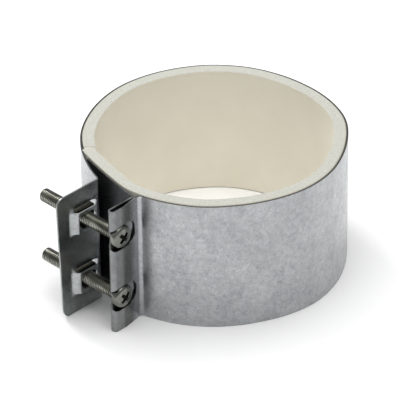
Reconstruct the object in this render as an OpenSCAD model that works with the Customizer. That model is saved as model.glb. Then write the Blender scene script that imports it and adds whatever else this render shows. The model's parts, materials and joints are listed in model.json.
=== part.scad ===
// Pipe repair clamp: a foam-lined steel band that two screws draw closed around a pipe.
// Millimetres. The origin is on the axis of the bore at the middle of the band's width, +Z runs
// along the pipe. The band is closed at azimuth -135 degrees, where its two lugs stand out.

/* [Band] */
// Outside radius of the steel band
band_r = 57; // [52:0.5:62]
// Width of the band along the pipe
band_w = 60; // [56:1:80]
// Thickness of the steel sheet
sheet_t = 0.8; // [0.6:0.1:0.9]

/* [Lining] */
// Thickness of the foam lining
foam_t = 5.2; // [4:0.1:6]
// Thickness of the adhesive film that holds the lining
film_t = 0.2; // [0.1:0.05:0.3]

/* [Screws] */
// Diameter of the screws over their threads
screw_d = 6; // [5.6:0.1:6.2]
// Length of a screw under its head
screw_l = 45; // [40:1:60]
// Distance between the two screws
screw_pitch_z = 30; // [28:0.5:33]
// Diameter of a screw's head
head_d = 10.4; // [9.4:0.1:10.6]
// Height of a screw's head
head_h = 3.7; // [3.2:0.1:3.9]

/* [Nuts] */
// Side of a square nut
nut_w = 10; // [9.4:0.1:10.2]
// Thickness of a square nut
nut_t = 2.7; // [2.2:0.1:2.8]

/* [Motion] */
// Angle that the band can close by, which sets the wedge cut out behind its flexing line
close_angle = 4.65; // [3:0.05:5]

/* [Hidden] */
$fn = 180;

// The lugs are drawn in a frame of their own: x points outward along the middle of the gap,
// y points across the gap from the rear lug to the front lug, z is the pipe's axis.
lug_az = -135;
half_t = sheet_t / 2;
mid_r = band_r - half_t;
film_r = band_r - sheet_t;
foam_r = film_r - film_t;
bore_r = foam_r - foam_t;
far = 2 * band_r;
eps = 0.02;

// The band flexes about a line at the back of its outer face. Each half is cut back from a plane
// through that line, by a little over half the closing angle, so that closing leaves no overlap.
flex_x = -band_r;
relief = close_angle / 2 + 0.9;

// Front lug: the sheet leaves the ring in a hollow bend, runs out, folds back at a round nose and
// returns as a flat inner layer, which carries the screws.
fillet_mid_r = 2.4;
front_start = 13.2;
flare = 10.6;
front_out_y = 12.65;
inner_y = 9.85;
nose_r = (front_out_y - inner_y) / 2;
nose_x = band_r + 14.2;
root_mid_r = 1.2;
root_x = 58.8;
root_stub = 0.4;
seat_y = inner_y + half_t;

// Tongue: the sheet goes on from the inner layer, across the gap and under the rear tail.
tongue_turn = 99.2;
tongue_arc_r = 300;
tongue_sweep = 6.6;
seam_az = -35;
foam_front_end = 8.6;

// Tail: past the seam the rear of the band leaves the ring on a wider arc, up to the rear lug.
tail_shift = 20;
tail_start = -45;
tail_c = tail_shift * [-cos(tail_start), -sin(tail_start)];
tail_mid_r = mid_r + tail_shift;
gap_face_y = -10.2;
rear_y = gap_face_y - half_t;
tail_bend_r = 1.4;
rear_end_x = 82.7;
corner_r = 4;

// Pressed bridges of the rear lug, each over a window that holds a nut
screw_x = 67.4;
bridge_rise = 3.2;
bridge_h = 11.5;
bridge_x = [59.6, 62.4, 73.3, 76.6];
bridge_hole_x = 67.8;
bridge_hole_l = 9.6;
bridge_hole_w = 7.2;

// Screws and nuts
screw_mid_z = 0.6;
screw_z = [screw_mid_z - screw_pitch_z / 2, screw_mid_z + screw_pitch_z / 2];
screw_r = screw_d / 2;
shank_hole_r = 3.4;
head_slot_x = 66.2;
head_slot_l = 15.6;
head_slot_w = 11.2;
head_gap = 0.05;
nut_gap = 0.05;
nut_y = -10.3;
recess_w = 1.3;
recess_l = 5.2;
recess_h = 2.2;

function polar(r, a) = [r * cos(a), r * sin(a)];
function arc(c, r, a0, a1, n) = [for (i = [0:n]) c + polar(r, a0 + (a1 - a0) * i / n)];

// Unit vector from p to q, the normal on its left, and the mitre of two neighbouring normals
function unit(p, q) = (q - p) / norm(q - p);
function left(d) = [-d[1], d[0]];
function mitre(a, b) = (a + b) / (1 + a * b);
function side_normal(path, i) =
    let (n = len(path) - 1,
        before = i > 0 ? left(unit(path[i - 1], path[i])) : left(unit(path[0], path[1])),
        after = i < n ? left(unit(path[i], path[i + 1])) : before)
    mitre(before, after);
function shifted(path, d) = [for (i = [0:len(path) - 1]) path[i] + d * side_normal(path, i)];
function reversed(list) = [for (i = [len(list) - 1:-1:0]) list[i]];

// Outline of a sheet that follows path, between offsets d0 and d1 to its left
module strip(path, d0, d1) {
    polygon(concat(shifted(path, d0), reversed(shifted(path, d1))));
}

// A flat profile in the lug frame, raised to the band's full width
module across_band(h = band_w, z = 0) {
    rotate([0, 0, lug_az])
        translate([0, 0, z - h / 2])
            linear_extrude(h)
                children();
}

module ring2d(r_out, r_in) {
    difference() {
        circle(r_out);
        circle(r_in);
    }
}

// The part of a ring in front of the flexing line (side 1) or behind it (side -1), up to end_a
module half_ring2d(r_out, r_in, side, end_a) {
    inner = [flex_x, 0] + polar(band_r / 2, side * relief);
    corners = abs(end_a) > 30
        ? [polar(far, end_a)]
        : [polar(far, end_a), side * [far, far]];
    intersection() {
        ring2d(r_out, r_in);
        polygon(concat([[flex_x, 0], inner, [0, 0]], corners,
            [[0, side * far], [-far, side * far], [-far, 0]]));
    }
}

// Mid line of the front lug, from the ring's end out and back to the root of the tongue
fillet_c = polar(mid_r + fillet_mid_r, front_start);
fillet_path = arc(fillet_c, fillet_mid_r, front_start - 180, flare - 90, 10);
flare_end = fillet_path[10];
level_x = flare_end[0] + (front_out_y - flare_end[1]) / tan(flare);
nose_c = [nose_x, inner_y + nose_r];
root_c = [root_x, inner_y - root_mid_r];
root_path = arc(root_c, root_mid_r, 90, 270 - tongue_turn, 8);
tongue_start = root_path[8] + polar(root_stub, -tongue_turn);
front_path = concat(
    fillet_path,
    [[level_x, front_out_y]],
    arc(nose_c, nose_r, 90, -90, 16),
    root_path,
    [tongue_start]);

// Mid line of the tongue, a shallow arc that bulges outward
tongue_c = tongue_start - polar(tongue_arc_r, 90 - tongue_turn);
tongue_path = arc(tongue_c, tongue_arc_r, 90 - tongue_turn, 90 - tongue_turn - tongue_sweep, 12);

// The tongue's foam goes on past the end of the steel, up to the seam
foam_path = arc(tongue_c, tongue_arc_r, 90 - tongue_turn, 90 - tongue_turn - 1.5 * tongue_sweep, 18);

// Bend between the tail and the rear lug
bend_c = tail_c + [
    sqrt(pow(tail_mid_r + tail_bend_r, 2) - pow(rear_y - tail_bend_r - tail_c[1], 2)),
    rear_y - tail_bend_r - tail_c[1]];
bend_from = atan2(bend_c[1] - tail_c[1], bend_c[0] - tail_c[0]) + 180;

module front_profile() {
    half_ring2d(band_r, film_r, 1, front_start);
    strip(front_path, -half_t, half_t);
}

module rear_profile() {
    half_ring2d(band_r, film_r, -1, tail_start);
    intersection() {
        translate(tail_c)
            ring2d(tail_mid_r + half_t, tail_mid_r - half_t);
        polygon([tail_c, tail_c + polar(far, tail_start), tail_c + polar(far, bend_from - 180)]);
    }
    strip(concat(arc(bend_c, tail_bend_r, bend_from, 90, 8), [[screw_x - 5, rear_y]]),
        -half_t, half_t);
}

// Flat plate of the rear lug, with rounded outer corners
module rear_plate() {
    from_x = bend_c[0];
    length = rear_end_x - from_x;
    rotate([0, 0, lug_az])
        translate([from_x, rear_y + half_t, 0])
            rotate([90, 0, 0])
                linear_extrude(sheet_t) {
                    translate([0, -band_w / 2])
                        square([length - corner_r, band_w]);
                    translate([0, corner_r - band_w / 2])
                        square([length, band_w - 2 * corner_r]);
                    for (s = [-1, 1])
                        translate([length - corner_r, s * (band_w / 2 - corner_r)])
                            circle(corner_r);
                }
}

// A pressed bridge: the strip between two slits, raised towards the front lug
module bridge(z) {
    path = [[bridge_x[0] - 1, rear_y], [bridge_x[0], rear_y],
        [bridge_x[1], rear_y + bridge_rise], [bridge_x[2], rear_y + bridge_rise],
        [bridge_x[3], rear_y], [bridge_x[3] + 1, rear_y]];
    top_y = rear_y + bridge_rise;
    difference() {
        across_band(bridge_h, z)
            strip(path, -half_t, half_t);
        slot_along_screw(z, bridge_hole_x, top_y - sheet_t, top_y + sheet_t, bridge_hole_l, bridge_hole_w);
    }
}

// A solid slot, long along x, at height z, from y0 to y1
module slot_along_screw(z, x, y0, y1, l, w) {
    rotate([0, 0, lug_az])
        translate([x, y0, z])
            rotate([-90, 0, 0]) {
                for (s = [-0.5, 0.5])
                    translate([s * (l - w), 0, 0])
                        cylinder(h = y1 - y0, d = w);
                translate([(w - l) / 2, -w / 2, 0])
                    cube([l - w, w, y1 - y0]);
            }
}

// A cylinder along the screws' direction, at height z, from y0 to y1
module along_screw(z, x, y0, y1, r, r_end = undef) {
    rotate([0, 0, lug_az])
        translate([x, y0, z])
            rotate([-90, 0, 0])
                cylinder(h = y1 - y0, r1 = r, r2 = is_undef(r_end) ? r : r_end);
}

module band_rear() {
    window_x = bridge_x[0];
    color("silver") {
        difference() {
            union() {
                across_band()
                    rear_profile();
                rear_plate();
            }
            for (z = screw_z)
                rotate([0, 0, lug_az])
                    translate([window_x, rear_y - 1, z - bridge_h / 2])
                        cube([bridge_x[3] - window_x, 2, bridge_h]);
        }
        for (z = screw_z)
            bridge(z);
    }
}

module band_front() {
    color("silver")
        difference() {
            across_band()
                front_profile();
            for (z = screw_z) {
                slot_along_screw(z, head_slot_x, seat_y, seat_y + 6, head_slot_l, head_slot_w);
                along_screw(z, screw_x, seat_y - 2, seat_y + 1, shank_hole_r);
            }
        }
}

module band_tongue() {
    color("silver")
        across_band()
            strip(tongue_path, -half_t, half_t);
}

module lining_rear() {
    color("ivory")
        across_band()
            half_ring2d(foam_r, bore_r, -1, seam_az - 0.5);
}

module lining_front() {
    color("ivory")
        across_band()
            half_ring2d(foam_r, bore_r, 1, foam_front_end);
}

// Foam on the inner face of the tongue, left clear of the bore
module lining_tongue() {
    color("ivory")
        across_band()
            intersection() {
                strip(foam_path, -half_t - film_t - 2 * foam_t, -half_t - film_t);
                ring2d(film_r - film_t / 2, bore_r);
                polygon([[0, 0], polar(far, seam_az), polar(far, foam_front_end - 0.1)]);
            }
}

module adhesive_rear() {
    color("tan")
        across_band()
            half_ring2d(film_r, foam_r, -1, tail_start);
}

module adhesive_front() {
    color("tan")
        across_band()
            half_ring2d(film_r, foam_r, 1, front_start);
}

module adhesive_tongue() {
    color("tan")
        across_band()
            strip(tongue_path, -half_t - film_t, -half_t);
}

// Cheese-head screw with a cross recess; its length runs along -y of the lug frame
module screw(z) {
    seat = seat_y + head_gap;
    tip = seat - screw_l;
    chamfer = 0.7;
    crown = 1.3;
    color("darkkhaki")
        difference() {
            union() {
                along_screw(z, screw_x, tip + chamfer, seat + eps, screw_r);
                along_screw(z, screw_x, tip, tip + chamfer, screw_r - chamfer, screw_r);
                along_screw(z, screw_x, seat, seat + head_h - crown, head_d / 2);
                along_screw(z, screw_x, seat + head_h - crown, seat + head_h,
                    head_d / 2, head_d / 2 - crown);
            }
            for (a = [0, 90])
                rotate([0, 0, lug_az])
                    translate([screw_x, seat + head_h, z])
                        rotate([0, a, 0])
                            cube([recess_w, 2 * recess_h, recess_l], center = true);
        }
}

// Square nut that stands in a window of the rear lug, behind its bridge, where it cannot turn
module nut(z) {
    color("darkkhaki")
        difference() {
            rotate([0, 0, lug_az])
                translate([screw_x, nut_y, z])
                    cube([nut_w, nut_t, nut_w], center = true);
            along_screw(z, screw_x, nut_y - nut_t, nut_y + nut_t, screw_r + nut_gap);
        }
}

module screw_upper() {
    screw(screw_z[1]);
}

module screw_lower() {
    screw(screw_z[0]);
}

module nut_upper() {
    nut(screw_z[1]);
}

module nut_lower() {
    nut(screw_z[0]);
}

band_rear();
band_front();
band_tongue();
lining_rear();
lining_front();
lining_tongue();
adhesive_rear();
adhesive_front();
adhesive_tongue();
screw_upper();
screw_lower();
nut_upper();
nut_lower();
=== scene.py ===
import json
import math

import bmesh
import bpy
import numpy as np
from mathutils import Matrix, Vector
from mathutils.geometry import delaunay_2d_cdt

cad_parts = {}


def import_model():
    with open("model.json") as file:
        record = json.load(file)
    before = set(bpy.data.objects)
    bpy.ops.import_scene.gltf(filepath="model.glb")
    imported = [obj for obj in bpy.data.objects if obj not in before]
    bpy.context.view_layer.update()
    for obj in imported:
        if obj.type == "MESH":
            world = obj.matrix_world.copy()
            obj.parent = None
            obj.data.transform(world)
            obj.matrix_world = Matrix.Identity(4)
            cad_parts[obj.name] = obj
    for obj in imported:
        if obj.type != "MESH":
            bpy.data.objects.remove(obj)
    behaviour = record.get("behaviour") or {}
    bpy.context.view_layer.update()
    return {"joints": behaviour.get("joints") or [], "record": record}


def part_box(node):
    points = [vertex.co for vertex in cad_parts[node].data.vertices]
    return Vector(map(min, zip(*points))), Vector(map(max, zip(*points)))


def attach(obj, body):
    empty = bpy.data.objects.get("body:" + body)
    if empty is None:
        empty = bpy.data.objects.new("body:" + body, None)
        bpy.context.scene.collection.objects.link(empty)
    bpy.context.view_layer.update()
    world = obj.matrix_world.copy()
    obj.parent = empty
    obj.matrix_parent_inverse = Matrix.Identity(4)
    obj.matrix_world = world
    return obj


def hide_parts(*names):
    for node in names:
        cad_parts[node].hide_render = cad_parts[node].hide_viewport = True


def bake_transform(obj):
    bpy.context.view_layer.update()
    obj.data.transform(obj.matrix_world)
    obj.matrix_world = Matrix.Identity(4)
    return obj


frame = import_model()

# Lengths are in millimetres and are turned into metres where a mesh is made. Bent sheet is laid out
# in the lug frame: u points outward along the middle of the gap, v points across the gap from the
# rear lug to the front lug, and z is the axis of the pipe.
MM = 0.001
LUG_AZ = math.radians(-135)
JOINTS = {joint["name"]: joint for joint in frame["joints"]}

# ---------------------------------------------------------------- measures, from the frame
BAND_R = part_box("band_front")[1].x / MM
HALF_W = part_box("band_front")[1].z / MM
FILM_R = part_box("adhesive_front")[1].x / MM
FOAM_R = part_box("lining_front")[1].x / MM
BORE_R = frame["record"]["mounts"][0]["dims"]["r_mm"]
SHEET_T = BAND_R - FILM_R
FILM_T = FILM_R - FOAM_R
FOAM_T = FOAM_R - BORE_R
HALF_T = SHEET_T / 2
MID_R = BAND_R - HALF_T
EDGE_ROUND = 0.12
HOLE_ROUND = 0.34
SCREW_POS = Vector(JOINTS["screw_upper_turn"]["pos_m"]) / MM
SCREW_U = SCREW_POS.xy.length
HEIGHTS = {key: JOINTS[f"screw_{key}_turn"]["pos_m"][2] / MM for key in ("upper", "lower")}

# Front lug: hollow bend, flared outer layer, round nose, flat inner layer and the tongue's root
FILLET_R = 2.4
FRONT_START = 13.2
FLARE = 10.6
OUTER_V = 12.65
INNER_V = 9.85
NOSE_R = (OUTER_V - INNER_V) / 2
NOSE_C = (BAND_R + 14.2, INNER_V + NOSE_R)
ROOT_R = 1.2
ROOT_C = (58.8, INNER_V - ROOT_R)
ROOT_STUB = 0.4
TONGUE_TURN = 99.2
TONGUE_R = 300
TONGUE_SWEEP = 6.6
TONGUE_CORNER_R = 1

# Tail and rear lug
TAIL_SHIFT = 20
TAIL_START = -45
TAIL_R = MID_R + TAIL_SHIFT
REAR_V = -10.6
TAIL_BEND_R = 1.4
REAR_END_U = 82.7
CORNER_R = 4
SEAM = -34.4
SEAM_V = -29.8
SEAM_LEAN = 0.28
EDGE_SLANT = 2.2
SLANT_REACH = 12

# Pressed bridges and holes
BRIDGE_U = (59.2, 62.6, 73.3, 75.2)
BRIDGE_RISE = 3.2
BRIDGE_H = 11.0
BRIDGE_ROUND = 1.6
SLIT_U = (60.7, 73.9)
SLIT_W = 0.3
SLIT_DRAW = 2.0
DRAW_EARLY = 1.2
BRIDGE_HOLE_U = 67.8
BRIDGE_HOLE = (9.6, 7.2)
HEAD_SLOT_U = 66.9
HEAD_SLOT = (17.0, 11.2)
SHANK_HOLE_R = 3.4

# Screws and nuts
PITCH = 1.0
SCREW_R = 3.0
THREAD_H = 0.6
TIP_CHAMFER = 0.75
NECK_L = 0.5
NECK_IN = 0.2
SCREW_L = 45
HEAD_R = (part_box("screw_upper")[1].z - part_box("screw_upper")[0].z) / 2 / MM
HEAD_H = 3.7
SEAT_GAP = 0.05
SEAT_V = INNER_V + HALF_T + SEAT_GAP
RECESS_R = 3.3
RECESS_DEPTH = 2.7
NUT_W = 10
NUT_T = 2.7
NUT_V = -10.3
NUT_GAP = 0.06

# The back of the ring bends over this much each side of the flexing line
BACK_ARC = 45


# ---------------------------------------------------------------- lines, arcs and bent sheet
def polar(r, degrees):
    a = math.radians(degrees)
    return np.array([r * math.cos(a), r * math.sin(a)])


def world(u, v, z):
    """Points of the lug frame, in mm, as rows of x, y, z in metres."""
    u, v, z = np.broadcast_arrays(np.asarray(u, float), v, z)
    c, s = math.cos(LUG_AZ), math.sin(LUG_AZ)
    return np.stack([c * u - s * v, s * u + c * v, z], axis=-1) * MM


class Profile:
    """The mid line of a bent sheet in the lug frame: lines and arcs, end to end."""

    def __init__(self):
        self.starts, self.parts, self.length = [], [], 0.0

    def _add(self, length, place):
        self.starts.append(self.length)
        self.parts.append(place)
        self.length += length
        return self

    def line(self, p, q):
        p, q = np.array(p, float), np.array(q, float)
        d = (q - p) / np.linalg.norm(q - p)
        normal = np.array([-d[1], d[0]])
        return self._add(
            np.linalg.norm(q - p),
            lambda t: (p + t[:, None] * d, np.tile(normal, (len(t), 1))),
        )

    def arc(self, c, r, a0, a1):
        turn = 1 if a1 > a0 else -1

        def place(t):
            a = math.radians(a0) + turn * t / r
            out = np.stack([np.cos(a), np.sin(a)], axis=-1)
            return np.array(c) + r * out, -turn * out

        return self._add(abs(math.radians(a1 - a0)) * r, place)

    def at(self, s):
        """Points and left-hand normals at distances s along the line."""
        s = np.asarray(s, float)
        part = np.clip(np.searchsorted(self.starts, s, side="right") - 1, 0, None)
        point, normal = np.zeros((len(s), 2)), np.zeros((len(s), 2))
        for i, place in enumerate(self.parts):
            here = part == i
            if here.any():
                point[here], normal[here] = place(s[here] - self.starts[i])
        return point, normal

    def steps(self, degrees=1.0, longest=2.0):
        """Distances along the line, close together where it bends."""
        found = [0.0]
        ends = self.starts[1:] + [self.length]
        for start, end in zip(self.starts, ends):
            probe = self.at(np.array([start + 1e-6, end - 1e-6]))[1]
            bend = math.degrees(math.acos(np.clip(probe[0] @ probe[1], -1, 1)))
            count = max(1, math.ceil(bend / degrees), math.ceil((end - start) / longest))
            found += list(np.linspace(start, end, count + 1)[1:])
        return np.array(found)


def inside(points, loops):
    """Which 2D points are inside an odd number of the loops."""
    odd = np.zeros(len(points), bool)
    x, y = points[:, 0], points[:, 1]
    for loop in loops:
        for (x0, y0), (x1, y1) in zip(loop, np.roll(loop, -1, axis=0)):
            if y0 != y1:
                crosses = (y0 > y) != (y1 > y)
                odd ^= crosses & (x < x0 + (y - y0) * (x1 - x0) / (y1 - y0))
    return odd


def inset(loop, by):
    """A loop moved to its left by a distance, with its corners mitred."""
    ahead = np.roll(loop, -1, axis=0) - loop
    ahead /= np.linalg.norm(ahead, axis=1)[:, None]
    left = np.stack([-ahead[:, 1], ahead[:, 0]], axis=-1)
    before = np.roll(left, 1, axis=0)
    mitre = (left + before) / (1 + (left * before).sum(1))[:, None]
    return loop + by * mitre


def circle_loop(s, z, r, count=40):
    """A hole's outline, clockwise, so that the material is on its left."""
    a = np.linspace(0, -2 * np.pi, count, endpoint=False)
    return np.stack([s + r * np.cos(a), z + r * np.sin(a)], axis=-1)


def slot_loop(s, z, length, width, count=16):
    """An oblong hole's outline, long along s, clockwise."""
    r, half = width / 2, (length - width) / 2
    a = np.linspace(np.pi / 2, -np.pi / 2, count)
    right = np.stack([s + half + r * np.cos(a), z + r * np.sin(a)], axis=-1)
    left = np.stack([s - half - r * np.cos(a), z - r * np.sin(a)], axis=-1)
    return np.concatenate([right, left])


def slit_loop(s0, s1, z, width, step=0.4):
    """A slit's outline along s with round ends, clockwise."""
    r = width / 2
    s = np.linspace(s0 + r, s1 - r, math.ceil((s1 - s0) / step))
    a = np.linspace(np.pi / 2, -np.pi / 2, 7)[1:-1]
    top = np.column_stack([s, np.full(len(s), z + r)])
    end = np.column_stack([s1 - r + r * np.cos(a), z + r * np.sin(a)])
    bottom = np.column_stack([s[::-1], np.full(len(s), z - r)])
    start = np.column_stack([s0 + r - r * np.cos(a), z - r * np.sin(a)])
    return np.concatenate([top, end, bottom, start])


def blank_loop(columns, rows, corner=0.0):
    """The outline of a blank, anticlockwise, with round corners at its far end."""
    s0, s1, z0, z1 = columns[0], columns[-1], rows[0], rows[-1]
    keep_off = corner + 0.05
    long_side = columns[columns < s1 - keep_off] if corner else columns[:-1]
    side = rows[(rows > z0 + keep_off) & (rows < z1 - keep_off)]
    points = [(s, z0) for s in long_side]
    if corner:
        turn = np.radians(np.linspace(-90, 0, 10))
        across = s1 - corner + corner * np.cos(turn)
        points += zip(across, z0 + corner + corner * np.sin(turn))
        points += [(s1, z) for z in side]
        across = s1 - corner + corner * np.cos(turn + np.pi / 2)
        points += zip(across, z1 - corner + corner * np.sin(turn + np.pi / 2))
    else:
        points += [(s1, z0)] + [(s1, z) for z in side] + [(s1, z1)]
    points += [(s, z1) for s in long_side[::-1]]
    points += [(s0, z) for z in side[::-1]]
    return np.array(points)


def ring_shape():
    """How far the sprung band stands off a true circle at each degree from -180 to 180, in mm."""
    table = [
        (-180, -0.1), (-170, 0), (-122, 0), (-100, 0.3), (-82, 0.05), (-68, 0.3), (-55, 0.9),
        (-43, 1.4), (-32, 1.0), (-20, 0.3), (-8, 0), (2, 0.25), (11, 0.55), (22, 0.2), (32, -0.45),
        (45, -0.9), (60, -0.75), (75, -0.3), (90, 0), (105, -0.3), (130, -0.05), (145, -0.25),
        (162, -0.7), (174, -0.4), (180, -0.1),
    ]
    at = np.arange(-180, 180)
    raw = np.interp(at, *zip(*table))
    reach = 8
    window = np.hanning(2 * reach + 1)
    return at, sum(w * np.roll(raw, k - reach) for k, w in enumerate(window)) / window.sum()


RING_SHAPE = ring_shape()


def ripple(point, z, ring_r):
    """How far the sheet stands off a true ring, in mm: its sprung shape and long shallow waves."""
    az = np.arctan2(point[:, 1], point[:, 0]) + LUG_AZ
    on_ring = np.clip(1 - 2 * np.abs(np.hypot(point[:, 0], point[:, 1]) - ring_r), 0, 1)
    wave = 0.05 * np.sin(11 * az + z / 40) + 0.04 * np.sin(17 * az - z / 19) * np.cos(z / 30)
    shape = np.interp(np.degrees(az), *RING_SHAPE, period=360)
    return (wave + shape) * on_ring


def new_object(name, vertices, faces, normals=None):
    """A smooth-shaded mesh object from vertices in metres. Faces are turned to point outward."""
    vertices = np.asarray(vertices, float)
    volume = sum(
        float(np.dot(vertices[f[0]], np.cross(vertices[f[k]], vertices[f[k + 1]])))
        for f in faces
        for k in range(1, len(f) - 1)
    )
    if volume < 0:
        faces = [f[::-1] for f in faces]
    mesh = bpy.data.meshes.new(name)
    mesh.from_pydata(vertices.tolist(), [], [list(f) for f in faces])
    mesh.shade_smooth()
    if normals is not None:
        mesh.normals_split_custom_set_from_vertices(np.asarray(normals, float).tolist())
    obj = bpy.data.objects.new(name, mesh)
    bpy.context.scene.collection.objects.link(obj)
    return obj


def bent_sheet(name, loops, fixed_s, columns, rows, place, thickness=SHEET_T,
               round_by=EDGE_ROUND, lean=None, hole_round=None):
    """A sheet cut to the loops and bent by place(s, z, strip), with rounded edges.

    loops[0] is the outline and the rest are holes, in distance along the sheet and height. Edges at
    the distances in fixed_s meet another sheet, and stay square. place gives points of the mid
    surface in the lug frame, as rows of u, v, z. lean(s) is how far the cut moves along the sheet
    for each millimetre of its thickness. Holes are rounded by hole_round, where it is given.
    """
    edge_room = 0.3
    bevels = [round_by] + [hole_round or round_by] * (len(loops) - 1)
    insets = []
    for k, loop in enumerate(loops):
        moved = inset(loop, bevels[k])
        for s in fixed_s if k == 0 else ():
            moved[np.isclose(loop[:, 0], s), 0] = s
        insets.append(moved)
    grid = np.array([(s, z) for s in columns[1:-1] for z in rows[1:-1]])
    grid = grid[inside(grid, insets)]
    edge = np.concatenate(insets)
    near = np.array([np.hypot(*(edge - p).T).min() for p in grid])
    grid = grid[near > edge_room]
    points = np.concatenate([edge, grid])
    constraints, first = [], 0
    for loop in insets:
        n = len(loop)
        constraints += [(first + i, first + (i + 1) % n) for i in range(n)]
        first += n
    flat, _, triangles, origin, _, _ = delaunay_2d_cdt(
        [Vector(p) for p in points], constraints, [], 0, 1e-6, True
    )
    flat = np.array([tuple(p) for p in flat])
    triangles = np.array(triangles)
    keep = inside(flat[triangles].mean(axis=1), insets)
    triangles = triangles[keep]
    where = {i: k for k, ids in enumerate(origin) for i in ids}

    def surface(sz):
        """Mid-surface points and normals, from steps of h each way."""
        s, z = sz[:, 0], sz[:, 1]
        strip = place.strip(z)
        h = 0.02
        mid = place(s, z, strip)
        along = place(s + h, z, strip) - place(s - h, z, strip)
        up = place(s, z + h, strip) - place(s, z - h, strip)
        normal = np.cross(up, along)
        return mid, normal / np.linalg.norm(normal, axis=1)[:, None]

    def faces_at(sz, depth):
        """Points at a depth to the left of the mid surface, and the normals there."""
        if lean is not None:
            sz = np.column_stack([sz[:, 0] + depth * lean(sz[:, 0]), sz[:, 1]])
        mid, normal = surface(sz)
        return mid + depth * normal, normal

    half = thickness / 2
    (top_at, top_normal), (low_at, low_normal) = faces_at(flat, half), faces_at(flat, -half)
    vertices = [top_at, low_at]
    normals = [top_normal, -low_normal]
    count = len(flat)
    faces = [tuple(t[::-1]) for t in triangles] + [tuple(t + count) for t in triangles]
    total, first = 2 * count, 0
    for loop, moved, bevel in zip(loops, insets, bevels):
        n = len(loop)
        for depth in (half - bevel, bevel - half):
            rim = faces_at(loop, depth)[0]
            outward = rim - faces_at(moved, depth)[0]
            size = np.linalg.norm(outward, axis=1)[:, None]
            vertices.append(rim)
            normals.append(outward / np.maximum(size, 1e-9))
        for i in range(n):
            j = (i + 1) % n
            top = [where[first + i], where[first + j]]
            upper = [total + i, total + j]
            lower = [total + n + i, total + n + j]
            bottom = [top[0] + count, top[1] + count]
            for a, b in ((top, upper), (upper, lower), (lower, bottom)):
                faces.append((a[1], a[0], b[0], b[1])[::-1])
        total += 2 * n
        first += n
    vertices = np.concatenate(vertices)
    normals = np.concatenate(normals)
    normals = world(normals[:, 0], normals[:, 1], normals[:, 2]) / MM
    return new_object(name, world(*vertices.T), faces, normals)


class Bend:
    """Bends a blank along a profile. Between the slits it can rise as a pressed bridge."""

    def __init__(self, profile, ring_r=MID_R, plate_s=None):
        self.profile, self.ring_r, self.plate_s = profile, ring_r, plate_s

    def strip(self, z):
        """Whether a height is on a bridge's strip."""
        return self.beside(z) < 0

    def beside(self, z):
        """How far outside the nearest bridge's strip a height is, in mm."""
        return np.min([np.abs(z - h) for h in HEIGHTS.values()], axis=0) - BRIDGE_H / 2

    def rise(self, u):
        """How far a bridge stands up at u: flat on top, with a ramp at each end."""
        def ramp(x):
            w = BRIDGE_ROUND
            return (np.clip(x + w / 2, 0, None) ** 2 - np.clip(x - w / 2, 0, None) ** 2) / (2 * w)

        a, b, c, d = BRIDGE_U
        up, down = BRIDGE_RISE / (b - a), BRIDGE_RISE / (d - c)
        return up * (ramp(u - a) - ramp(u - b)) - down * (ramp(u - c) - ramp(u - d))

    def __call__(self, s, z, strip):
        point = self.profile.at(s)[0]
        outward = point / np.linalg.norm(point, axis=1)[:, None]
        point = point + ripple(point, z, self.ring_r)[:, None] * outward
        if self.plate_s is not None:
            # past the slits' ends the sheet beside a strip is drawn up with it
            past = np.maximum(point[:, 0] - SLIT_U[1], SLIT_U[0] - point[:, 0])
            drawn = np.clip((past + DRAW_EARLY) / SLIT_DRAW, 0, 1)
            drawn *= np.clip(1 - self.beside(z) / SLIT_DRAW, 0, 1) ** 2
            share = np.where(s > self.plate_s, np.where(strip, 1, drawn), 0)
            point[:, 1] += share * self.rise(point[:, 0])
        return np.column_stack([point, z])


# ---------------------------------------------------------------- profiles
def front_lug(profile):
    """Adds the front lug to a profile that has come round the ring to FRONT_START."""
    fillet_c = polar(MID_R + FILLET_R, FRONT_START)
    flare_end = fillet_c + polar(FILLET_R, FLARE - 90)
    level_u = flare_end[0] + (OUTER_V - flare_end[1]) / math.tan(math.radians(FLARE))
    root_end = np.array(ROOT_C) + polar(ROOT_R, 270 - TONGUE_TURN)
    profile.arc(fillet_c, FILLET_R, FRONT_START - 180, FLARE - 90)
    profile.line(flare_end, (level_u, OUTER_V))
    level_s = profile.length
    profile.line((level_u, OUTER_V), (NOSE_C[0], OUTER_V))
    profile.arc(NOSE_C, NOSE_R, 90, -90)
    inner_s = profile.length
    profile.line((NOSE_C[0], INNER_V), (ROOT_C[0], INNER_V))
    profile.arc(ROOT_C, ROOT_R, 90, 270 - TONGUE_TURN)
    profile.line(root_end, root_end + polar(ROOT_STUB, -TONGUE_TURN))
    return level_s + HEAD_SLOT_U - level_u, inner_s + NOSE_C[0] - SCREW_U


front_line = Profile().arc((0, 0), MID_R, 180 - BACK_ARC, FRONT_START)
head_slot_s, shank_hole_s = front_lug(front_line)
back_line = Profile().arc((0, 0), MID_R, 180 - BACK_ARC, 180 + BACK_ARC)

tongue_start = front_line.at(np.array([front_line.length]))[0][0]
tongue_c = tongue_start - polar(TONGUE_R, 90 - TONGUE_TURN)
tongue_line = Profile().arc(tongue_c, TONGUE_R, 90 - TONGUE_TURN, 90 - TONGUE_TURN - TONGUE_SWEEP)

tail_c = -polar(TAIL_SHIFT, TAIL_START)
bend_v = REAR_V - TAIL_BEND_R
bend_c = np.array([
    tail_c[0] + math.sqrt((TAIL_R + TAIL_BEND_R) ** 2 - (bend_v - tail_c[1]) ** 2),
    bend_v,
])
bend_az = math.degrees(math.atan2(bend_c[1] - tail_c[1], bend_c[0] - tail_c[0]))
rear_line = (
    Profile()
    .arc((0, 0), MID_R, 180 + BACK_ARC, 360 + TAIL_START)
    .arc(tail_c, TAIL_R, TAIL_START, bend_az)
    .arc(bend_c, TAIL_BEND_R, 180 + bend_az, 90)
)
plate_s = rear_line.length
rear_line.line((bend_c[0], REAR_V), (REAR_END_U, REAR_V))
ROWS = np.linspace(-HALF_W, HALF_W, 31)


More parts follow.
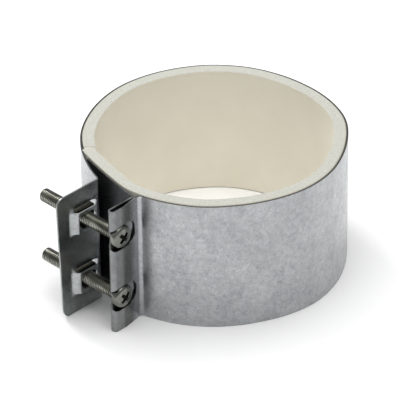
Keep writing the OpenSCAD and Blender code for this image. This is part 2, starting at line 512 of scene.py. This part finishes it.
# ---------------------------------------------------------------- band
def make_band():
    """The sheet steel, in pieces that meet edge to edge: rear, back, front and tongue."""
    pieces = {}

    columns = rear_line.steps(degrees=1.0, longest=0.8)
    loops = [blank_loop(columns, ROWS, CORNER_R)]
    near_end = np.clip((loops[0][:, 0] - columns[-1]) / SLANT_REACH + 1, 0, 1)
    loops[0][:, 0] -= EDGE_SLANT * near_end * (HALF_W - loops[0][:, 1]) / (2 * HALF_W)
    u_to_s = plate_s - bend_c[0]
    for z in HEIGHTS.values():
        loops.append(slot_loop(BRIDGE_HOLE_U + u_to_s, z, *BRIDGE_HOLE))
        for edge in (z - BRIDGE_H / 2, z + BRIDGE_H / 2):
            loops.append(slit_loop(SLIT_U[0] + u_to_s, SLIT_U[1] + u_to_s, edge, SLIT_W))
    pieces["rear"] = bent_sheet(
        "band_rear_sheet", loops, [0.0], columns, ROWS, Bend(rear_line, plate_s=plate_s),
        hole_round=HOLE_ROUND,
    )

    columns = back_line.steps(degrees=1.0)
    loops = [blank_loop(columns, ROWS)]
    pieces["back"] = bent_sheet(
        "band_back_sheet", loops, [0.0, columns[-1]], columns, ROWS, Bend(back_line)
    )

    columns = np.unique(np.round(front_line.steps(degrees=1.0, longest=0.8), 6))
    loops = [blank_loop(columns, ROWS)]
    loops += [slot_loop(head_slot_s, z, *HEAD_SLOT, 36) for z in HEIGHTS.values()]
    loops += [circle_loop(shank_hole_s, z, SHANK_HOLE_R) for z in HEIGHTS.values()]
    pieces["front"] = bent_sheet(
        "band_front_sheet", loops, [0.0, columns[-1]], columns, ROWS, Bend(front_line)
    )

    columns = tongue_line.steps(degrees=1.0, longest=1.0)
    loops = [blank_loop(columns, ROWS, TONGUE_CORNER_R)]
    pieces["tongue"] = bent_sheet(
        "band_tongue_sheet", loops, [0.0], columns, ROWS, Bend(tongue_line)
    )
    return pieces


# ---------------------------------------------------------------- lining and adhesive
FOAM_MID = (FOAM_R + BORE_R) / 2
FOAM_DEPTH = HALF_T + FILM_T + FOAM_T / 2
FOAM_BEND_R = 22
FOAM_JOIN = 14
LEAN_OVER = 8
INSET = 0.1
FOAM_PROUD = 0.3
FOAM_ROUND = 0.35
FILM_ROUND = 0.05
FILM_START = 1.5


def tangent_circle(r):
    """Centre of a circle inside both the ring's circle and the tongue's, and where it touches.

    The two big circles run along the middle of the foam. Angles are about each one's own centre.
    """
    a, b = FOAM_MID - r, TONGUE_R - FOAM_DEPTH - r
    apart = np.linalg.norm(tongue_c)
    along = (apart**2 + a**2 - b**2) / (2 * apart)
    unit = tongue_c / apart
    across = np.array([unit[1], -unit[0]])
    centre = along * unit + math.sqrt(a**2 - along**2) * across
    on_ring = math.degrees(math.atan2(centre[1], centre[0]))
    on_tongue = math.degrees(math.atan2(*(centre - tongue_c)[::-1]))
    return centre, on_ring, on_tongue


front_c, front_az, front_turn = tangent_circle(FOAM_BEND_R)
seam_turn = math.degrees(math.asin((SEAM_V - tongue_c[1]) / (TONGUE_R - FOAM_DEPTH)))
foam_tongue_line = (
    Profile()
    .arc((0, 0), FOAM_MID, FOAM_JOIN, front_az)
    .arc(front_c, FOAM_BEND_R, front_az, front_turn)
    .arc(tongue_c, TONGUE_R - FOAM_DEPTH, front_turn, seam_turn)
)


def lining_sheet(name, profile, thickness, ring_r, fixed, corner, lean=None, top=HALF_W - INSET):
    """A layer of the lining bent along a profile, square at whichever of its ends are fixed."""
    columns = profile.steps(degrees=1.5, longest=1.6)
    rows = np.linspace(INSET - HALF_W, top, 25)
    ends = [s for s, is_fixed in zip((0.0, columns[-1]), fixed) if is_fixed]
    loops = [blank_loop(columns, rows)]
    bend = Bend(profile, ring_r)
    return bent_sheet(name, loops, ends, columns, rows, bend, thickness, corner, lean)


def lean_at_seam(line):
    """How much a piece's cut leans at each distance along it, which is only near the seam."""
    return lambda s: SEAM_LEAN * np.clip(1 - (line.length - s) / LEAN_OVER, 0, 1)


def make_lining():
    """Foam and adhesive film, each in rear, back, front and tongue pieces, edge to edge."""
    back_from, back_to = 180 - BACK_ARC, 180 + BACK_ARC
    rear = Profile().arc((0, 0), FOAM_MID, back_to, 360 + SEAM)
    back = Profile().arc((0, 0), FOAM_MID, back_from, back_to)
    front = Profile().arc((0, 0), FOAM_MID, back_from, FOAM_JOIN)
    layers = {
        "rear": (rear, (1, 0), lean_at_seam(rear)),
        "back": (back, (1, 1), None),
        "front": (front, (1, 1), None),
        "tongue": (foam_tongue_line, (1, 0), lean_at_seam(foam_tongue_line)),
    }
    top = HALF_W + FOAM_PROUD
    foam = {
        key: lining_sheet(
            f"lining_{key}_foam", line, FOAM_T, FOAM_MID, fixed, FOAM_ROUND, lean, top
        )
        for key, (line, fixed, lean) in layers.items()
    }
    film_mid = FOAM_R + FILM_T / 2
    tongue_r = TONGUE_R - HALF_T - FILM_T / 2
    root = 90 - TONGUE_TURN
    layers = {
        "rear": (Profile().arc((0, 0), film_mid, back_to, 360 + TAIL_START), (1, 0)),
        "back": (Profile().arc((0, 0), film_mid, back_from, back_to), (1, 1)),
        "front": (Profile().arc((0, 0), film_mid, back_from, FRONT_START), (1, 0)),
        "tongue": (
            Profile().arc(tongue_c, tongue_r, root - FILM_START, root - TONGUE_SWEEP), (0, 0)
        ),
    }
    film = {
        key: lining_sheet(f"adhesive_{key}_film", line, FILM_T, film_mid, fixed, FILM_ROUND)
        for key, (line, fixed) in layers.items()
    }
    return foam, film


# ---------------------------------------------------------------- screws and nuts
def turned(name, rings, count):
    """A closed solid from rings of count points each, given as rows of u, v, z."""
    faces = []
    for k in range(len(rings) - 1):
        for i in range(count):
            j = (i + 1) % count
            faces.append((k * count + i, k * count + j, (k + 1) * count + j, (k + 1) * count + i))
    last = (len(rings) - 1) * count
    faces.append(tuple(range(count - 1, -1, -1)))
    faces.append(tuple(range(last, last + count)))
    points = np.concatenate(rings)
    return new_object(name, world(*points.T), faces)


def cut(obj, cutter, sharp):
    """Takes the cutter away from the object, and shades edges above an angle as sharp."""
    modifier = obj.modifiers.new("cut", "BOOLEAN")
    modifier.object, modifier.operation, modifier.solver = cutter, "DIFFERENCE", "EXACT"
    graph = bpy.context.evaluated_depsgraph_get()
    mesh = bpy.data.meshes.new_from_object(obj.evaluated_get(graph))
    obj.modifiers.clear()
    obj.data = mesh
    bpy.data.objects.remove(cutter)
    mesh.shade_smooth()
    mesh.set_sharp_from_angle(angle=math.radians(sharp))


def make_screw(name, z):
    """A cheese-head screw: helical thread, chamfered tip, domed head and cross recess."""
    shape = np.array([0.0, 0.0, 0.35, 0.75, 1.0, 1.0, 0.65, 0.25])
    count, per_turn = 32, len(shape)
    tip = SEAT_V - SCREW_L
    angle = 2 * np.pi * np.arange(count) / count
    rings = []
    for k in range(-per_turn, math.ceil(SCREW_L / PITCH * per_turn) + 1):
        v = np.clip(tip + PITCH * (k / per_turn + np.arange(count) / count), tip, SEAT_V)
        r = SCREW_R - THREAD_H * (1 - shape[k % per_turn])
        r = np.minimum(r, SCREW_R - TIP_CHAMFER + (v - tip))
        r = np.where(SEAT_V - v < NECK_L, SCREW_R - NECK_IN, r)
        rings.append(np.column_stack([SCREW_U + r * np.cos(angle), v, z + r * np.sin(angle)]))
    # the head's outline from its seat up: how far inside its rim, and how high
    dome = [(0.9, 0), (0.2, 0.18), (0, 0.5), (0, 1.7), (0.08, 2.15), (0.3, 2.55), (0.7, 2.88),
            (1.3, 3.12), (2.3, 3.38), (3.6, 3.6), (4.7, HEAD_H)]
    head = []
    for inward, up in dome:
        r = HEAD_R - inward
        head.append(np.column_stack([
            SCREW_U + r * np.cos(angle), np.full(count, SEAT_V + up), z + r * np.sin(angle)
        ]))
    # each thread row is a helix, so its last point meets the first point of the row a pitch on
    n = len(rings)
    faces = []
    index = lambda k, i: k * count + i
    for k in range(n - 1):
        for i in range(count - 1):
            faces.append((index(k, i), index(k, i + 1), index(k + 1, i + 1), index(k + 1, i)))
        if k + per_turn + 1 < n:
            faces.append((index(k, count - 1), index(k + per_turn, 0),
                          index(k + per_turn + 1, 0), index(k + 1, count - 1)))
    for k in range(n - 1, n - 1 + len(head)):
        for i in range(count):
            j = (i + 1) % count
            faces.append((index(k, i), index(k, j), index(k + 1, j), index(k + 1, i)))
    last = (n + len(head) - 1) * count
    faces.append(tuple(range(last, last + count)))
    faces.append(tuple(range(count - 1, -1, -1)))
    points = np.concatenate(rings + head)
    obj = new_object(name, world(*points.T), faces)
    solid = bmesh.new()
    solid.from_mesh(obj.data)
    bmesh.ops.remove_doubles(solid, verts=solid.verts, dist=1e-7)
    bmesh.ops.recalc_face_normals(solid, faces=solid.faces)
    solid.to_mesh(obj.data)
    solid.free()
    cut(obj, cross_cutter(name + "_cutter", z), 35)
    return obj


def cross_cutter(name, z):
    """A tapered cross that leaves a cross recess in a head. It starts a little above the head."""
    top = SEAT_V + HEAD_H + 0.3
    floor = top - RECESS_DEPTH
    rings = []
    for v, length, width in ((floor - 0.5, 0.05, 0.05), (floor, 1.1, 0.5), (top, RECESS_R, 0.78)):
        outline = []
        for azimuth in range(45, 360, 90):
            along, side = polar(1, azimuth), polar(1, azimuth + 90)
            inner = width * 1.25
            outline += [
                along * inner - side * width,
                along * length - side * width,
                along * length + side * width,
            ]
        u, up = np.array(outline).T
        rings.append(np.column_stack([SCREW_U + u, np.full(len(u), v), z + up]))
    return turned(name, rings, len(rings[0]))


def make_nut(name, z):
    """A thin square nut with rounded edges and a countersunk bore."""
    half, t = NUT_W / 2, NUT_T / 2
    edge, worn = 0.12, 0.975
    corner, steps = 0.6, 5
    outline = []
    for quarter in range(4):
        c = polar((half - corner) * math.sqrt(2), 45 + 90 * quarter)
        outline += [c + polar(corner, 90 * quarter + 90 * i / steps) for i in range(steps + 1)]
    outline = np.array(outline)
    rings = []
    for v, size in ((-t, worn), (edge - t, 1), (t - edge, 1), (t, worn)):
        u, up = (outline * size).T
        rings.append(np.column_stack([SCREW_U + u, np.full(len(u), NUT_V - v), z + up]))
    obj = turned(name, rings, len(outline))
    count = 32
    a = np.linspace(0, 2 * np.pi, count, endpoint=False)
    bore_r, sunk_r, out, sunk = SCREW_R + NUT_GAP, SCREW_R + 0.8, t + 0.5, t - 0.25
    bore = []
    for v, r in ((-out, sunk_r), (-sunk, bore_r), (sunk, bore_r), (out, sunk_r)):
        bore.append(np.column_stack([
            SCREW_U + r * np.cos(a), np.full(count, NUT_V + v), z + r * np.sin(a)
        ]))
    cut(obj, turned(name + "_cutter", bore, count), 30)
    return obj


# ---------------------------------------------------------------- materials
LUG_U = world(1, 0, 0) / MM
LUG_V = world(0, 1, 0) / MM


class Nodes:
    """A material's node tree, with short calls to add and link nodes."""

    def __init__(self, name):
        self.material = bpy.data.materials.new(name)
        self.material.use_nodes = True
        self.tree = self.material.node_tree
        self.shader = self.tree.nodes["Principled BSDF"]
        self.place = self.add("ShaderNodeTexCoord").outputs["Object"]
        self.normal = self.add("ShaderNodeNewGeometry").outputs["Normal"]

    def add(self, kind, inputs=(), **settings):
        node = self.tree.nodes.new(kind)
        for key, value in settings.items():
            setattr(node, key, value)
        for key, value in dict(inputs).items():
            self.set(node.inputs[key], value)
        return node

    def set(self, socket, value):
        if isinstance(value, bpy.types.NodeSocket):
            self.tree.links.new(value, socket)
        else:
            socket.default_value = value

    def noise(self, scale, detail=4.0, rough=0.55, warp=0.0):
        inputs = {"Vector": self.place, "Scale": scale, "Detail": detail, "Roughness": rough}
        return self.add("ShaderNodeTexNoise", {**inputs, "Distortion": warp}).outputs["Fac"]

    def split(self, vector):
        return list(self.add("ShaderNodeSeparateXYZ", {"Vector": vector}).outputs)

    def along(self, vector, direction):
        """How much of a vector lies along a direction."""
        inputs = {0: vector, 1: tuple(direction)}
        return self.add("ShaderNodeVectorMath", inputs, operation="DOT_PRODUCT").outputs["Value"]

    def lug_frame(self):
        """The u and v coordinates of the point that is shaded, in metres."""
        return [self.along(self.place, axis) for axis in (LUG_U, LUG_V)]

    def level(self):
        """How level the surface is: 1 if it faces straight up or down, 0 if it is upright."""
        return self.math("ABSOLUTE", self.split(self.normal)[2], 0)

    def math(self, operation, a, b):
        node = self.add("ShaderNodeMath", operation=operation)
        self.set(node.inputs[0], a)
        self.set(node.inputs[1], b)
        return node.outputs[0]

    def hypot(self, a, b):
        squares = self.math("ADD", self.math("MULTIPLY", a, a), self.math("MULTIPLY", b, b))
        return self.math("SQRT", squares, 0)

    def weigh(self, *parts):
        """The sum of several values, each times its weight."""
        total = 0
        for value, weight in parts:
            total = self.math("ADD", self.math("MULTIPLY", value, weight), total)
        return total

    def fit(self, value, low, high, to_low, to_high):
        ends = {"From Min": low, "From Max": high, "To Min": to_low, "To Max": to_high}
        return self.add("ShaderNodeMapRange", {"Value": value, **ends}).outputs["Result"]

    def ramp(self, value, stops):
        node = self.add("ShaderNodeValToRGB", {"Fac": value})
        elements = node.color_ramp.elements
        for extra in stops[2:]:
            elements.new(extra[0])
        for element, (position, colour) in zip(elements, sorted(stops)):
            element.position, element.color = position, (*colour, 1)
        return node.outputs["Color"]

    def mix(self, blend, amount, a, b):
        node = self.add("ShaderNodeMix", data_type="RGBA", blend_type=blend)
        self.set(node.inputs["Factor"], amount)
        self.set(node.inputs[6], a)
        self.set(node.inputs[7], b)
        return node.outputs[2]

    def bump(self, height, strength, distance, normal=None):
        inputs = {"Height": height, "Strength": strength, "Distance": distance}
        if normal is not None:
            inputs["Normal"] = normal
        return self.add("ShaderNodeBump", inputs).outputs["Normal"]

    def finish(self, **values):
        for key, value in values.items():
            self.set(self.shader.inputs[key.replace("_", " ")], value)
        return self.material


def galvanised():
    """Zinc-coated sheet: clouded grey with fine grain and darker specks. Its cut rims are darkened,
    partly as bare steel and partly as painted shade; the lugs are darker, with a painted highlight
    at the front lug's fold and painted shade under the bridges.
    """
    m = Nodes("galvanised_steel")
    clouds = m.noise(75, 4, 0.55, 0.5)
    grain = m.noise(420, 3, 0.6)
    fine = m.noise(1300, 3, 0.65)
    value = m.weigh((clouds, 0.30), (grain, 0.33), (fine, 0.37))
    stops = [(0.34, (0.28, 0.288, 0.297)), (0.5, (0.385, 0.395, 0.405)), (0.66, (0.50, 0.51, 0.52))]
    colour = m.ramp(value, stops)
    specks = m.fit(m.noise(800, 2, 0.5), 0.64, 0.72, 0.0, 0.45)
    colour = m.mix("MIX", specks, colour, (0.20, 0.203, 0.208, 1))

    # the sheet's cut rim round the pipe is bare, and its coating only begins at the face; its near
    # black colour is partly bare steel and partly painted shade where the rim meets the lining
    rim = m.fit(m.level(), 0.55, 0.8, 0.0, 1.0)
    x, y, _ = m.split(m.place)
    reach = m.hypot(x, y)
    on_ring = m.fit(reach, (BAND_R + 1.5) * MM, (BAND_R + 3.0) * MM, 0.85, 0.0)
    colour = m.mix("MIX", m.math("MULTIPLY", rim, on_ring), colour, (0.09, 0.09, 0.08, 1))

    # the lugs are darker than the ring, and the front lug's fold is lightened as a painted
    # highlight
    u, v = m.lug_frame()
    patch = m.fit(m.noise(55, 2, 0.5, 0.4), 0.4, 0.62, 0.0, 1.0)
    rear_lug_tone = m.mix("MIX", patch, (0.56, 0.61, 0.565, 1), (1.0, 1.0, 0.96, 1))
    at_fold = m.fit(u, (NOSE_C[0] - 4.4) * MM, (NOSE_C[0] - 3.0) * MM, 0.0, 1.0)
    front_tone_and_fold_highlight = m.mix("MIX", at_fold, (0.36, 0.36, 0.34, 1), (0.60, 0.60, 0.59, 1))
    lug_tone_and_fold_highlight = m.mix("MIX", m.fit(v, 0.0, MM, 0.0, 1.0), rear_lug_tone, front_tone_and_fold_highlight)

    # a bridge is brighter than its lug, but its underside is dark, in the shade of its nut
    plate_v = REAR_V + HALF_T
    top_v = plate_v + BRIDGE_RISE
    above = m.fit(v, (plate_v + 0.1) * MM, (plate_v + 0.5) * MM, 0.0, 1.0)
    below = m.fit(v, (top_v + 0.6) * MM, (top_v + 1.0) * MM, 1.0, 0.0)
    raised = m.math("MULTIPLY", above, below)
    on_lug = m.fit(reach, (BAND_R + 3.0) * MM, (BAND_R + 7.0) * MM, 0.0, 1.0)
    # worn sets how strongly the lugs' darker tone and the fold's painted highlight apply: fully on
    # the lugs, less on the bridges, not on the ring
    worn = m.math("MULTIPLY", on_lug, m.fit(raised, 0.0, 1.0, 1.0, 0.3))
    colour = m.mix("MULTIPLY", worn, colour, lug_tone_and_fold_highlight)
    under = m.math("MULTIPLY", m.fit(m.along(m.normal, LUG_V), -0.15, -0.4, 0.0, 0.93), raised)
    off_ring = m.fit(reach, (BAND_R + 3.0) * MM, (BAND_R + 3.2) * MM, 0.0, 1.0)
    colour = m.mix("MIX", m.math("MULTIPLY", under, off_ring), colour, (0.01, 0.01, 0.01, 1))

    rough = m.fit(value, 0.38, 0.62, 0.38, 0.26)
    normal = m.bump(m.noise(60, 3), 0.08, 0.002, m.bump(grain, 0.08, 0.0006))
    return m.finish(Base_Color=colour, Metallic=1.0, Roughness=rough, Normal=normal)


def foam_rubber():
    """Cream closed-cell foam: greyer where it is cut across, with a fine matt grain."""
    m = Nodes("lining_foam")
    soft = m.noise(30, 3, 0.5)
    grain = m.noise(1500, 3, 0.7)
    skin = m.ramp(soft, [(0.35, (0.76, 0.725, 0.625)), (0.65, (0.81, 0.775, 0.68))])
    raw = m.ramp(grain, [(0.35, (0.42, 0.42, 0.372)), (0.65, (0.515, 0.515, 0.462))])
    cut_face = m.fit(m.level(), 0.5, 0.9, 0.0, 1.0)
    colour = m.mix("MIX", cut_face, skin, raw)
    bump = m.bump(grain, 0.25, 0.0004)
    return m.finish(Base_Color=colour, Roughness=0.85, Normal=bump, Specular_IOR_Level=0.25)


def adhesive():
    """Tan transfer adhesive, slightly glossy."""
    m = Nodes("adhesive_film")
    colour = m.ramp(m.noise(200, 3), [(0.3, (0.20, 0.17, 0.12)), (0.7, (0.32, 0.28, 0.2))])
    return m.finish(Base_Color=colour, Roughness=0.45)


def zinc(name, low, high, rough):
    """Zinc-plated steel with a slight olive passivation, with painted shade in its thread, in its
    cross recess and over its head.
    """
    m = Nodes(name)
    fine = m.noise(1400, 3, 0.6)
    colour = m.ramp(m.weigh((m.noise(160, 4, 0.6), 0.7), (fine, 0.3)), [(0.35, low), (0.65, high)])

    # the distance from the nearer screw's axis tells crests from grooves
    u, v = m.lug_frame()
    middle = sum(HEIGHTS.values()) / 2
    off_middle = m.math("ABSOLUTE", m.math("SUBTRACT", m.split(m.place)[2], middle * MM), 0)
    off_axis = m.math("SUBTRACT", off_middle, (HEIGHTS["upper"] - middle) * MM)
    reach = m.hypot(m.math("SUBTRACT", u, SCREW_U * MM), off_axis)
    groove = m.fit(reach, (SCREW_R - 0.4) * MM, (SCREW_R - 0.03) * MM, 1.0, 0.0)
    in_head = m.fit(v, SEAT_V * MM, (SEAT_V + 0.1) * MM, 0.0, 1.0)
    groove = m.math("MULTIPLY", groove, m.math("SUBTRACT", 1.0, in_head))

    # the cross recess lies close to that axis, below the top of the head
    top_v = SEAT_V + HEAD_H
    in_cross = m.fit(reach, RECESS_R * MM, (RECESS_R + 0.2) * MM, 1.0, 0.0)
    deep = m.fit(v, (top_v - 0.8) * MM, (top_v - 0.5) * MM, 1.0, 0.0)
    recess = m.math("MULTIPLY", m.math("MULTIPLY", in_cross, deep), in_head)

    # the whole head is darkened: painted shade for the shadow that the edge of the lug's slot casts
    # on it
    colour = m.mix("MULTIPLY", in_head, colour, (0.34, 0.35, 0.35, 1))
    # thread grooves and the cross recess go near black: painted shade
    groove_and_recess_shade = m.math("MULTIPLY", m.math("MAXIMUM", groove, recess), 0.95)
    colour = m.mix("MIX", groove_and_recess_shade, colour, (0.012, 0.012, 0.01, 1))
    spread = m.fit(fine, 0.3, 0.7, rough + 0.06, rough - 0.04)
    bump = m.bump(fine, 0.12, 0.0003)
    return m.finish(Base_Color=colour, Metallic=1.0, Roughness=spread, Normal=bump)


def floor_paint():
    """Even, nearly white paper."""
    m = Nodes("floor_paper")
    colour = m.ramp(m.noise(6, 2), [(0.3, (0.95, 0.95, 0.95)), (0.7, (0.97, 0.97, 0.97))])
    return m.finish(Base_Color=colour, Roughness=0.9, Specular_IOR_Level=0.1)


# ---------------------------------------------------------------- stage, light and camera
def make_floor():
    """A pale floor just under the clamp's lower edge."""
    half, gap = 6.0, 0.02
    z = -(HALF_W + gap) * MM
    corners = [(-half, -half, z), (half, -half, z), (half, half, z), (-half, half, z)]
    mesh = bpy.data.meshes.new("floor")
    mesh.from_pydata(corners, [], [(0, 1, 2, 3)])
    obj = bpy.data.objects.new("floor", mesh)
    bpy.context.scene.collection.objects.link(obj)
    obj.data.materials.append(floor_paint())


def make_light(name, at, size, power):
    """A soft rectangular light at a place in metres, turned towards the origin."""
    data = bpy.data.lights.new(name, "AREA")
    data.shape, data.size, data.size_y, data.energy = "RECTANGLE", *size, power
    obj = bpy.data.objects.new(name, data)
    obj.location = at
    obj.rotation_euler = (-Vector(at)).to_track_quat("-Z", "Y").to_euler()
    bpy.context.scene.collection.objects.link(obj)


def make_lighting():
    """Even studio light: a broad light overhead, a small one behind, and pale surroundings."""
    make_light("overhead", (0, 0, 1.1), (1.3, 1.3), 14)
    make_light("key_behind", (-0.45, 0.55, 0.6), (0.3, 0.3), 2.8)
    studio = bpy.data.worlds.new("studio")
    bpy.context.scene.world = studio
    studio.use_nodes = True
    background = studio.node_tree.nodes["Background"]
    background.inputs["Color"].default_value = (1, 1, 1, 1)
    background.inputs["Strength"].default_value = 0.4
    bpy.context.scene.view_settings.view_transform = "Standard"


def make_camera():
    """A long lens in front of the clamp, looking down on it and rolled a little."""
    elevation, roll = math.radians(33.14), math.radians(-0.75)
    distance, aside, above = (n * BAND_R * MM for n in (28.5, 0.109, 0.053))
    back = Vector((0, -math.cos(elevation), math.sin(elevation)))
    level, upright = Vector((1, 0, 0)), Vector((0, math.sin(elevation), math.cos(elevation)))
    right = level * math.cos(roll) + upright * math.sin(roll)
    up = upright * math.cos(roll) - level * math.sin(roll)
    data = bpy.data.cameras.new("camera")
    data.sensor_width = 36
    data.lens = 340.8
    camera = bpy.data.objects.new("camera", data)
    turn = Matrix((right, up, back)).transposed().to_4x4()
    camera.matrix_world = Matrix.Translation(back * distance - right * aside - up * above) @ turn
    bpy.context.scene.collection.objects.link(camera)
    bpy.context.scene.camera = camera


# ---------------------------------------------------------------- assembly
def dress(objects, material):
    """Gives objects a material."""
    for obj in objects:
        obj.data.materials.clear()
        obj.data.materials.append(material)


make_camera()
make_floor()
make_lighting()
band = make_band()
foam, film = make_lining()
screws = {key: make_screw(f"screw_{key}_turned", z) for key, z in HEIGHTS.items()}
nuts = {key: make_nut(f"nut_{key}_square", z) for key, z in HEIGHTS.items()}
dress(band.values(), galvanised())
dress(foam.values(), foam_rubber())
dress(film.values(), adhesive())
screw_zinc = zinc("screw_zinc", (0.30, 0.30, 0.255), (0.86, 0.86, 0.78), 0.15)
# the nuts are coloured near black: painted shade for the shaded inside of the bridges that hold
# them
nut_painted_shade = zinc("nut_painted_shade", (0.03, 0.029, 0.022), (0.065, 0.063, 0.05), 0.5)
dress(screws.values(), screw_zinc)
dress(nuts.values(), nut_painted_shade)

# Rear pieces of the band, the lining and the film ride on the rear half, front pieces on the front
# half, and the back and tongue pieces stay put. BACK_V lies just inside the ends of the back
# pieces.
BACK_V = BORE_R * math.sin(math.radians(BACK_ARC)) - 0.4
TONGUE_V = (7.0, -23.0)
for layer, prefix in ((band, "band"), (foam, "lining"), (film, "adhesive")):
    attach(layer["rear"], "rear_half")
    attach(layer["front"], "front_half")
    for key, (v0, v1) in (("back", (BACK_V, -BACK_V)), ("tongue", TONGUE_V)):
        start, end = (Vector(world(0, v, 0)) for v in (v0, v1))
        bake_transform(layer[key])
    for key in ("rear", "front", "tongue"):
        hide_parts(f"{prefix}_{key}")
for kind, objects in (("screw", screws), ("nut", nuts)):
    for key, obj in objects.items():
        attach(obj, f"{kind}_{key}")
        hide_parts(f"{kind}_{key}")
